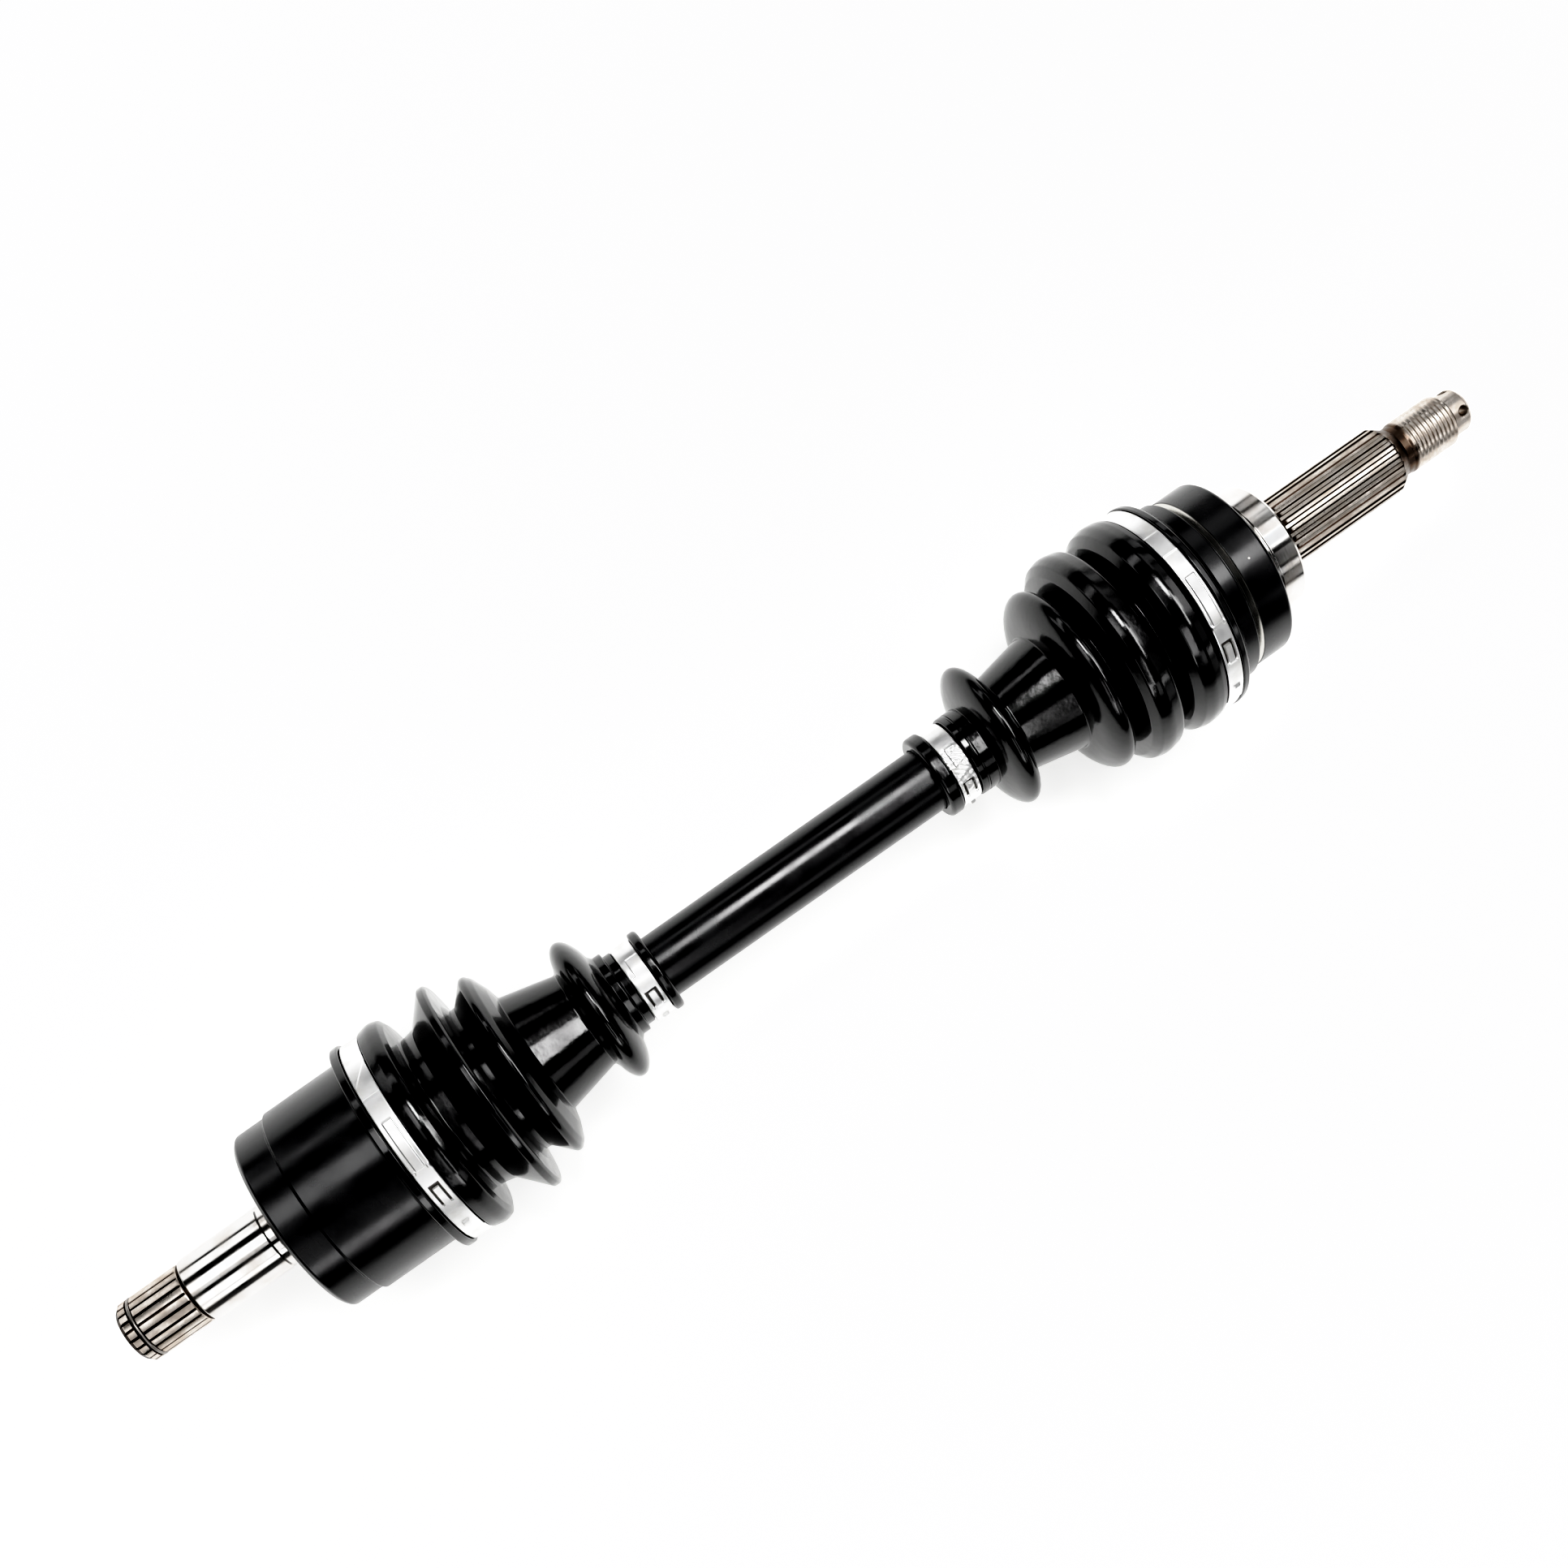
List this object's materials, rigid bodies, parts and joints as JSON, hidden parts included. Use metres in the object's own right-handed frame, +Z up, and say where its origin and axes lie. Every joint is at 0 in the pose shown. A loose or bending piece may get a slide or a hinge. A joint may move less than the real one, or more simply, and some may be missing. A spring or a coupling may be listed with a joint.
{
  "type": "cv axle",
  "caption": "Straight drive half shaft with a fixed ball joint at the wheel end, a plunging ball joint at the gearbox end, rubber bellows and band clamps.",
  "frame": {"origin": "centre of the whole axle, on its centreline", "axes": "+X along the axle towards the wheel end, +Z up as the axle lies on a table"},
  "size_m": [0.5278, 0.0774, 0.0774],
  "materials": {
    "black_paint": "satin",
    "machined_steel": "satin",
    "bearing_steel": "polished",
    "spring_steel": "satin",
    "boot_rubber": "satin",
    "clamp_steel": "satin"
  },
  "bodies": {
    "shaft": {"axle_bar": "black_paint", "wheel_joint_race": "bearing_steel", "wheel_race_circlip": "spring_steel", "wheel_boot_small_clamp": "clamp_steel", "gearbox_joint_race": "bearing_steel", "gearbox_race_circlip": "spring_steel", "gearbox_boot_small_clamp": "clamp_steel"},
    "wheel_housing": {"wheel_joint_bell": "black_paint", "wheel_boot": "boot_rubber", "wheel_boot_large_clamp": "clamp_steel"},
    "wheel_cage": {"wheel_joint_cage": "bearing_steel", "wheel_joint_ball_1": "bearing_steel", "wheel_joint_ball_2": "bearing_steel", "wheel_joint_ball_3": "bearing_steel", "wheel_joint_ball_4": "bearing_steel", "wheel_joint_ball_5": "bearing_steel", "wheel_joint_ball_6": "bearing_steel"},
    "gearbox_bellows": {"gearbox_boot": "boot_rubber"},
    "gearbox_housing": {"gearbox_joint_cup": "black_paint", "gearbox_cup_stop_ring": "spring_steel", "gearbox_stub_circlip": "spring_steel", "gearbox_boot_large_clamp": "clamp_steel"},
    "gearbox_cage": {"gearbox_joint_cage": "bearing_steel", "gearbox_joint_ball_1": "bearing_steel", "gearbox_joint_ball_2": "bearing_steel", "gearbox_joint_ball_3": "bearing_steel", "gearbox_joint_ball_4": "bearing_steel", "gearbox_joint_ball_5": "bearing_steel", "gearbox_joint_ball_6": "bearing_steel"}
  },
  "joints": [
    {"name": "wheel_tilt", "type": "hinge", "parent": "shaft", "child": "wheel_housing", "pos_m": [0.1548, 0, 0], "axis": [0, 0, 1], "range_deg": [-38, 38], "deforming": ["wheel_boot"]},
    {"name": "wheel_cage_tilt", "type": "hinge", "parent": "shaft", "child": "wheel_cage", "pos_m": [0.1548, 0, 0], "axis": [0, 0, 1], "range_deg": [-19, 19]},
    {"name": "gearbox_tilt", "type": "hinge", "parent": "shaft", "child": "gearbox_bellows", "pos_m": [-0.171, 0, 0], "axis": [0, 0, 1], "range_deg": [-16, 16], "deforming": ["gearbox_boot"]},
    {"name": "gearbox_plunge", "type": "slide", "parent": "gearbox_bellows", "child": "gearbox_housing", "axis": [1, 0, 0], "range_m": [-0.012, 0.008]},
    {"name": "gearbox_cage_tilt", "type": "hinge", "parent": "shaft", "child": "gearbox_cage", "pos_m": [-0.171, 0, 0], "axis": [0, 0, 1], "range_deg": [-8, 8]}
  ],
  "couplings": [
    {"joint": "wheel_cage_tilt", "follows": "wheel_tilt", "ratio": 0.5},
    {"joint": "gearbox_cage_tilt", "follows": "gearbox_tilt", "ratio": 0.5}
  ]
}
